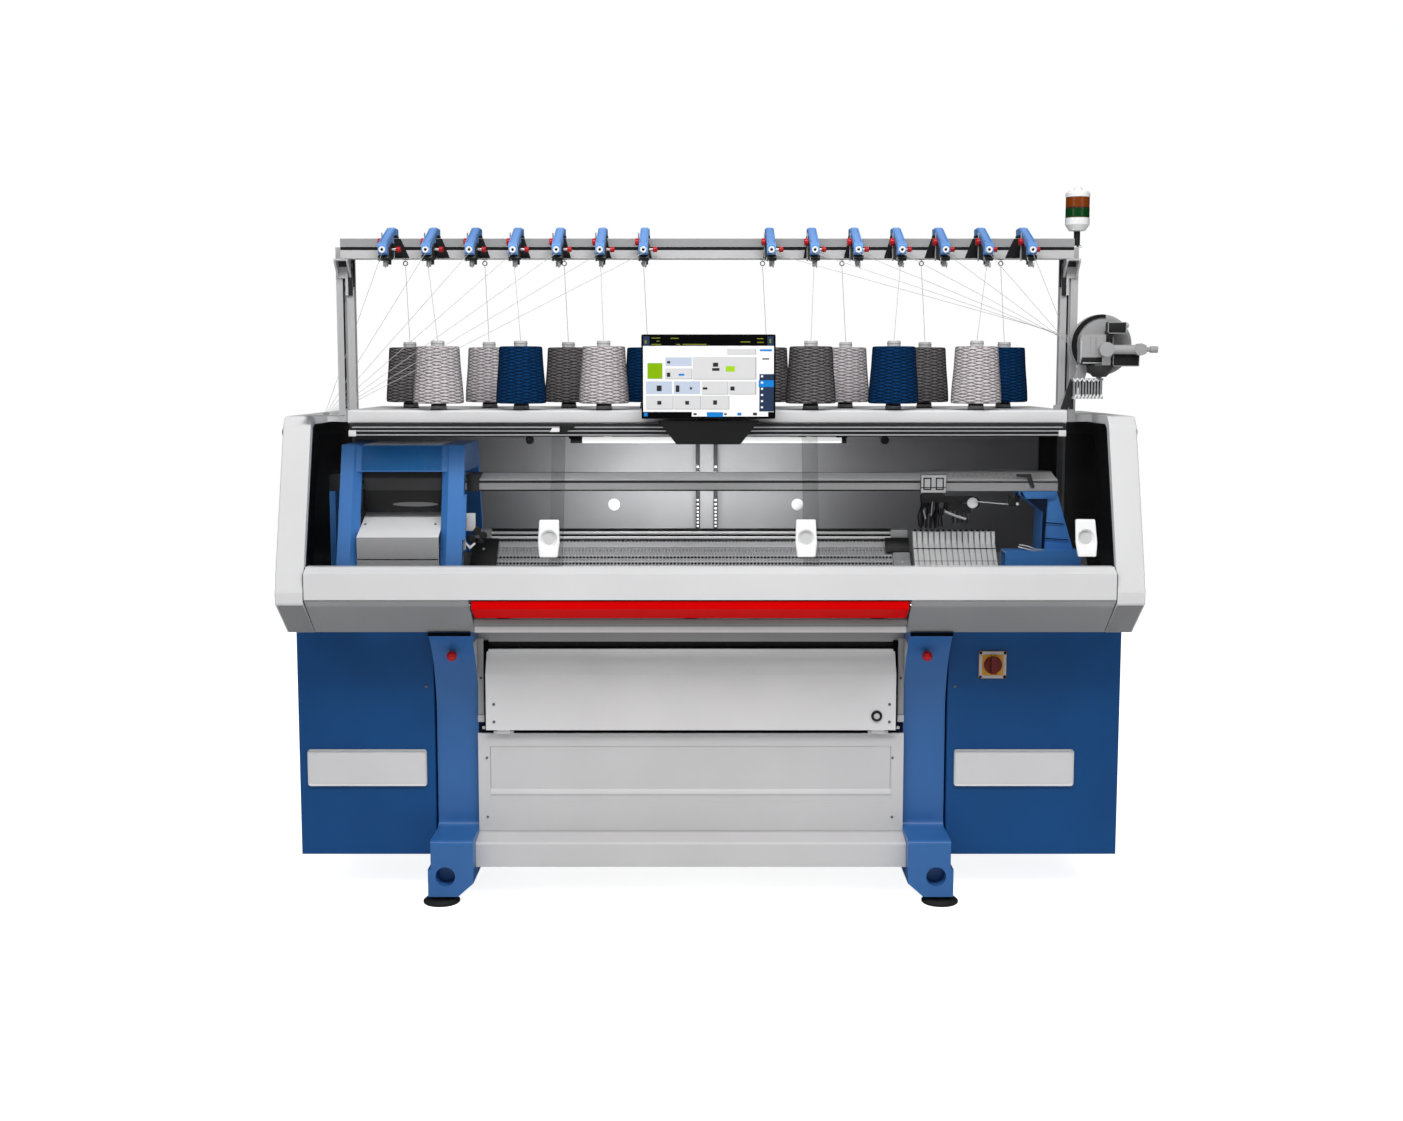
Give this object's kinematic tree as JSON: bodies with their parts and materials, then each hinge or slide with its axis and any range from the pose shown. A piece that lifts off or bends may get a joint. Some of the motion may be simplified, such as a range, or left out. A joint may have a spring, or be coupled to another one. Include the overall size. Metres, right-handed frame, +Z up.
{
  "type": "flat knitting machine",
  "caption": "Computerised flat knitting machine with twin sloping needle beds, a bridge carriage behind sliding clear doors, a yarn table with wound cones and a feeder rail above.",
  "frame": {"origin": "on the floor, under the middle of the whole machine", "axes": "+X along the needle beds to the operator's right, +Y away from the operator, +Z up"},
  "size_m": [2.634, 0.89, 2.18],
  "materials": {
    "leg_blue": "gloss paint",
    "cabinet_blue": "satin paint",
    "foot_black": "matte",
    "switch_plate": "satin",
    "red_plastic": "gloss",
    "hood_white": "satin paint",
    "lining_grey": "satin paint",
    "apron_grey": "satin paint",
    "start_red": "gloss paint",
    "frame_dark": "matte paint",
    "cover_white": "satin paint",
    "bright_steel": "brushed",
    "roller_rubber": "matte",
    "cast_frame": "machined and painted",
    "bed_steel": "ground",
    "chromed_rod": "polished",
    "carriage_blue": "gloss paint",
    "carriage_grey": "satin paint",
    "bright_aluminium": "milled",
    "carrier_black": "satin",
    "clear_door": "clear acrylic",
    "table_grey": "satin paint",
    "track_dark": "satin paint",
    "lamp_white": "opal",
    "screen_black": "satin",
    "profile_aluminium": "anodised",
    "feeder_blue": "satin",
    "yarn_dark": "wound yarn",
    "yarn_light": "wound yarn",
    "yarn_navy": "wound yarn",
    "paper_tube": "paper",
    "disc_grey": "satin",
    "lens_amber": "translucent"
  },
  "bodies": {
    "machine": {"left_leg": "leg_blue", "right_leg": "leg_blue", "levelling_feet": "foot_black", "lower_crossbars": "cover_white", "left_cabinet": "cabinet_blue", "right_cabinet": "cabinet_blue", "switch_frame": "switch_plate", "left_end_cover": "hood_white", "right_end_cover": "hood_white", "side_linings": "lining_grey", "front_cover_bar": "hood_white", "front_aprons": "apron_grey", "front_beam": "frame_dark", "lip_rail": "apron_grey", "inner_fascia": "apron_grey", "lower_panel": "cover_white", "bed_carriers": "cast_frame", "front_needle_bed": "bed_steel", "rear_needle_bed": "bed_steel", "bed_end_plates": "frame_dark", "guide_rods": "chromed_rod", "carriage_rails": "chromed_rod", "yarn_beam": "bright_aluminium", "beam_supports": "carriage_blue", "clamp_unit": "bright_aluminium", "rear_panels": "hood_white", "yarn_table": "table_grey", "door_track": "track_dark", "lamp_bar": "lamp_white", "monitor_bracket": "screen_black", "stand_uprights": "profile_aluminium", "top_rail": "profile_aluminium", "feeder_bodies": "feeder_blue", "feeder_knobs": "red_plastic", "feeder_guides": "bright_steel", "cones_dark": "yarn_dark", "cones_light": "yarn_light", "cones_navy": "yarn_navy", "cone_tubes": "paper_tube", "yarn_strands": "yarn_dark", "feed_housing": "track_dark", "feed_guides": "bright_steel", "tower_housing": "track_dark", "tower_lenses": "lens_amber"},
    "carriage": {"carriage_frame": "carriage_blue", "carriage_covers": "carriage_grey", "cam_plates": "bright_steel"},
    "yarn_carrier": {"yarn_carrier": "carrier_black"},
    "door_left": {"door_left": "clear_door"},
    "door_middle": {"door_middle": "clear_door"},
    "door_right": {"door_right": "clear_door"},
    "start_bar": {"start_bar": "start_red"},
    "takedown_cover": {"takedown_cover": "cover_white", "takedown_lock": "bright_steel"},
    "takedown_roller": {"takedown_roller": "roller_rubber"},
    "main_switch": {"switch_knob": "red_plastic"},
    "left_stop": {"left_stop_button": "red_plastic"},
    "right_stop": {"right_stop_button": "red_plastic"},
    "monitor": {"monitor": "screen_black"},
    "feed_disc": {"feed_disc": "disc_grey"}
  },
  "joints": [
    {"name": "carriage_slide", "type": "slide", "parent": "machine", "child": "carriage", "axis": [1, 0, 0], "range_m": [0, 1.69]},
    {"name": "yarn_carrier_slide", "type": "slide", "parent": "machine", "child": "yarn_carrier", "axis": [1, 0, 0], "range_m": [-1.35, 0.105]},
    {"name": "door_left_slide", "type": "slide", "parent": "machine", "child": "door_left", "axis": [1, 0, 0], "range_m": [0, 0.335]},
    {"name": "door_middle_slide", "type": "slide", "parent": "machine", "child": "door_middle", "axis": [1, 0, 0], "range_m": [-0.335, 0]},
    {"name": "door_right_slide", "type": "slide", "parent": "machine", "child": "door_right", "axis": [1, 0, 0], "range_m": [-0.75, 0]},
    {"name": "start_bar_turn", "type": "hinge", "parent": "machine", "child": "start_bar", "pos_m": [-0.088, -0.395, 0.935], "axis": [1, 0, 0], "range_deg": [-8, 8], "stiffness_Nm_per_rad": 6},
    {"name": "takedown_cover_hinge", "type": "hinge", "parent": "machine", "child": "takedown_cover", "pos_m": [-0.088, -0.197, 0.508], "axis": [1, 0, 0], "range_deg": [0, 85]},
    {"name": "takedown_roller_spin", "type": "hinge", "parent": "machine", "child": "takedown_roller", "pos_m": [-0.088, -0.115, 0.778], "axis": [1, 0, 0], "continuous": true},
    {"name": "main_switch_turn", "type": "hinge", "parent": "machine", "child": "main_switch", "pos_m": [0.8465, -0.182, 0.7155], "axis": [0, -1, 0], "range_deg": [0, 90]},
    {"name": "left_stop_press", "type": "slide", "parent": "machine", "child": "left_stop", "axis": [0, 1, 0], "range_m": [0, 0.006], "stiffness_N_per_m": 200},
    {"name": "right_stop_press", "type": "slide", "parent": "machine", "child": "right_stop", "axis": [0, 1, 0], "range_m": [0, 0.006], "stiffness_N_per_m": 200},
    {"name": "monitor_tilt", "type": "hinge", "parent": "machine", "child": "monitor", "pos_m": [-0.0345, -0.278, 1.603], "axis": [1, 0, 0], "range_deg": [-15, 5]},
    {"name": "feed_disc_spin", "type": "hinge", "parent": "machine", "child": "feed_disc", "pos_m": [1.162, -0.145, 1.699], "axis": [0, 1, 0], "continuous": true}
  ]
}
